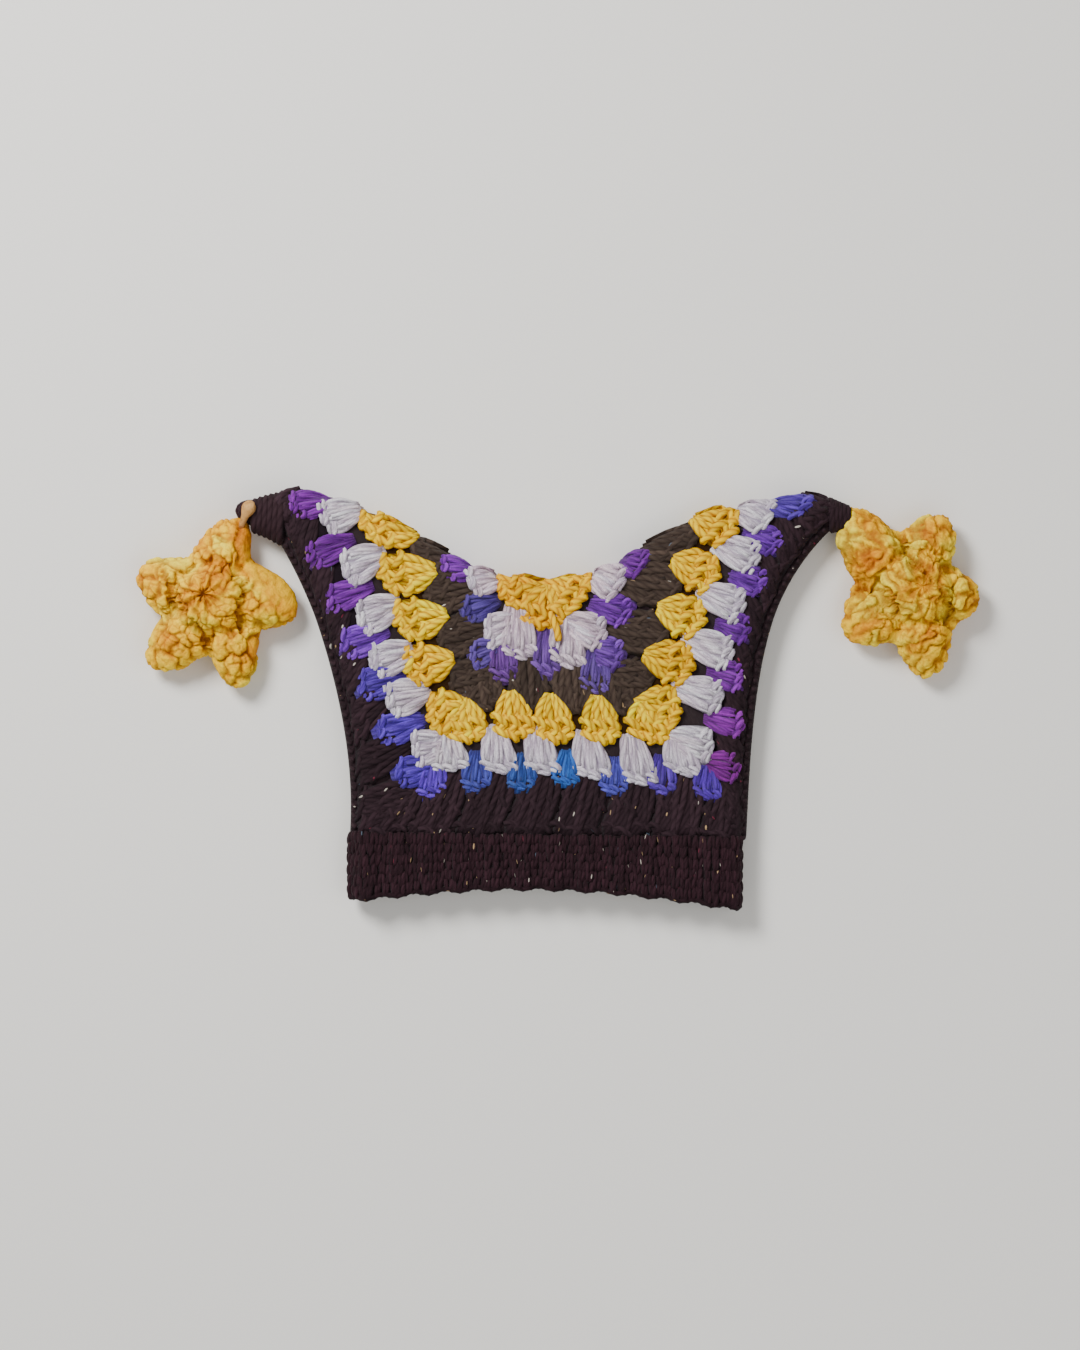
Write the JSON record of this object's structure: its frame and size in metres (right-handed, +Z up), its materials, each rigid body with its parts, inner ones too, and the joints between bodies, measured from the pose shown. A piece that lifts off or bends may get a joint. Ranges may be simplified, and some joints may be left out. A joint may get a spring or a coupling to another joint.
{
  "type": "crochet jester hat",
  "caption": "Two-pointed crochet jester hat in striped granny rounds with a ribbed brim and a stuffed star at each tip, lying flat and open at the brim for a head.",
  "frame": {"origin": "on the surface the hat lies on, under the middle of the whole object with its stars", "axes": "+X from one tip to the other, +Y from the brim towards the tips, +Z up out of the surface, through the front of the hat"},
  "size_m": [0.5466, 0.2724, 0.0374],
  "materials": {
    "yarn_yellow": "thick smooth plied yarn",
    "yarn_white": "soft fuzzy yarn with a lilac tint",
    "yarn_purple": "soft variegated yarn from purple to blue",
    "yarn_black": "tweed yarn with pale flecks",
    "chenille_amber": "velvety chenille yarn"
  },
  "bodies": {
    "root": {"round_1": "yarn_yellow", "round_2": "yarn_white", "round_3": "yarn_purple", "round_4": "yarn_black", "round_5": "yarn_yellow", "round_6": "yarn_white", "round_7": "yarn_purple", "round_8": "yarn_black", "side_seam_left": "yarn_black", "side_seam_right": "yarn_black", "brim": "yarn_black", "star_knot_left": "yarn_black", "star_left": "chenille_amber", "star_right": "chenille_amber"}
  },
  "joints": []
}
